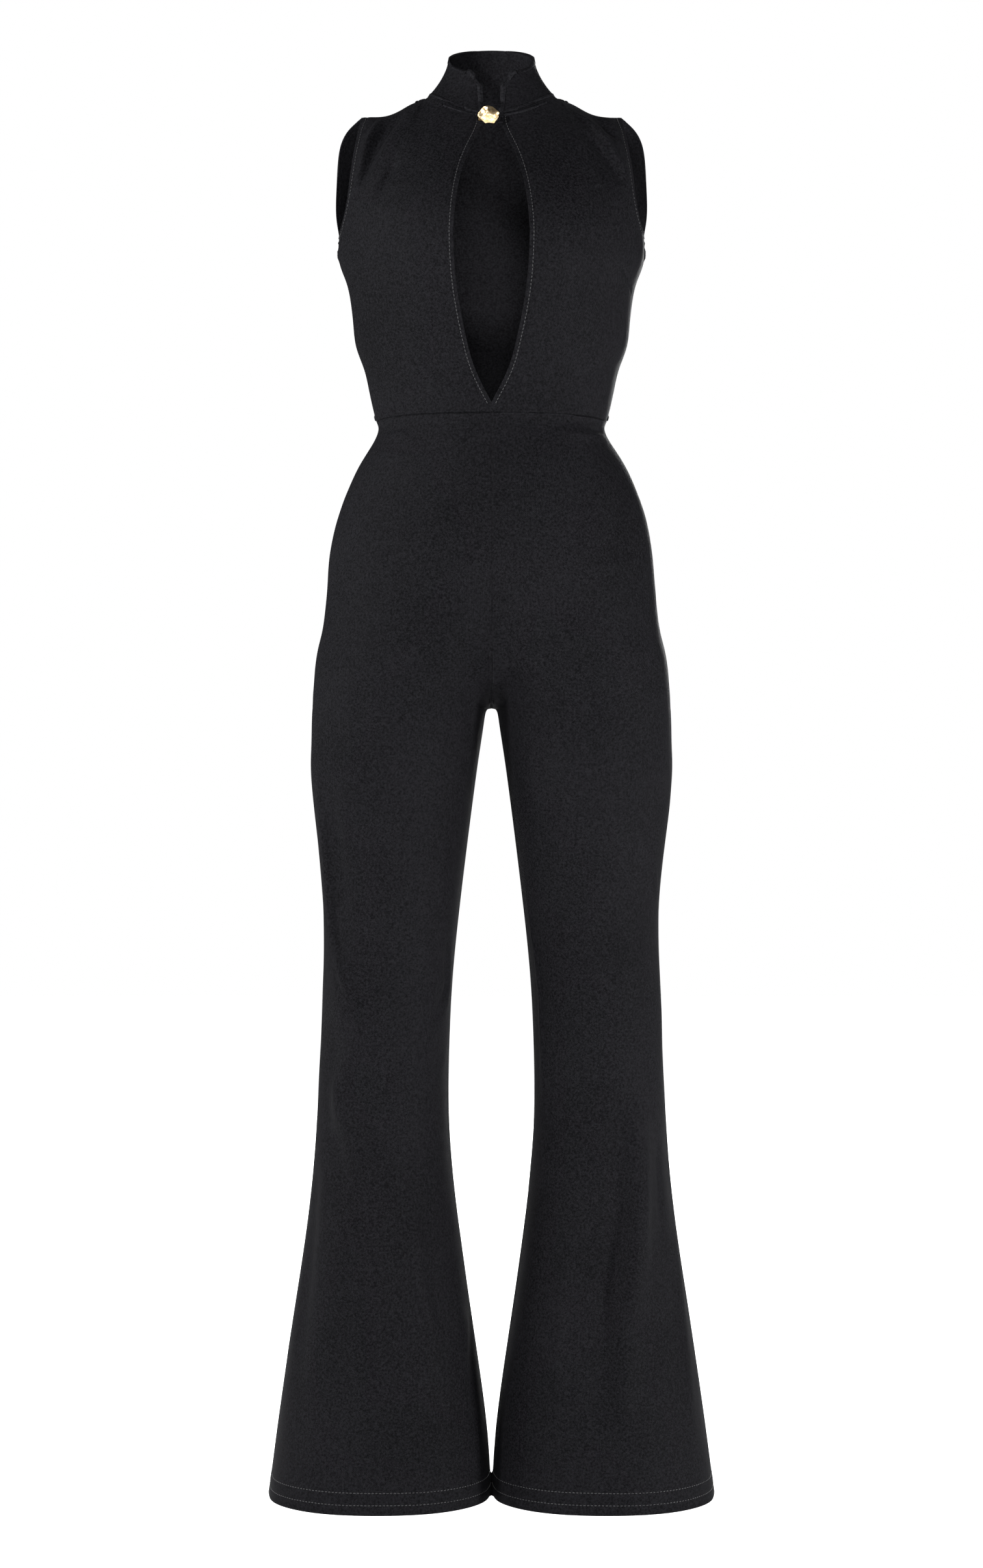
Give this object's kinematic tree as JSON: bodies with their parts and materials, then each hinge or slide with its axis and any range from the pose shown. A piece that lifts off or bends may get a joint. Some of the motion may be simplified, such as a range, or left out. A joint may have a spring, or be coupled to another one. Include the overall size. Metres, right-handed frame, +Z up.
{
  "type": "sleeveless flared jumpsuit",
  "caption": "Sleeveless stretch jumpsuit with a stand collar, a long front keyhole closed by a nugget button, a waist seam and flared legs, filled out and hollow.",
  "frame": {"origin": "midway between the shoulder tips, at their height, where the wearer's shoulders hold the garment", "axes": "+Z up, the front faces -Y, +X is the wearer's left"},
  "size_m": [0.4548, 0.2428, 1.4837],
  "materials": {
    "jersey": "matte black stretch jersey with a fine grain and a faint soft sheen",
    "button_metal": "polished gold-coloured cast metal, lumpy"
  },
  "bodies": {
    "root": {"collar": "jersey", "bodice_front_left": "jersey", "bodice_front_right": "jersey", "bodice_back": "jersey", "trouser_front_left": "jersey", "trouser_front_right": "jersey", "trouser_back_left": "jersey", "trouser_back_right": "jersey", "button": "button_metal", "button_loop": "jersey"}
  },
  "joints": []
}
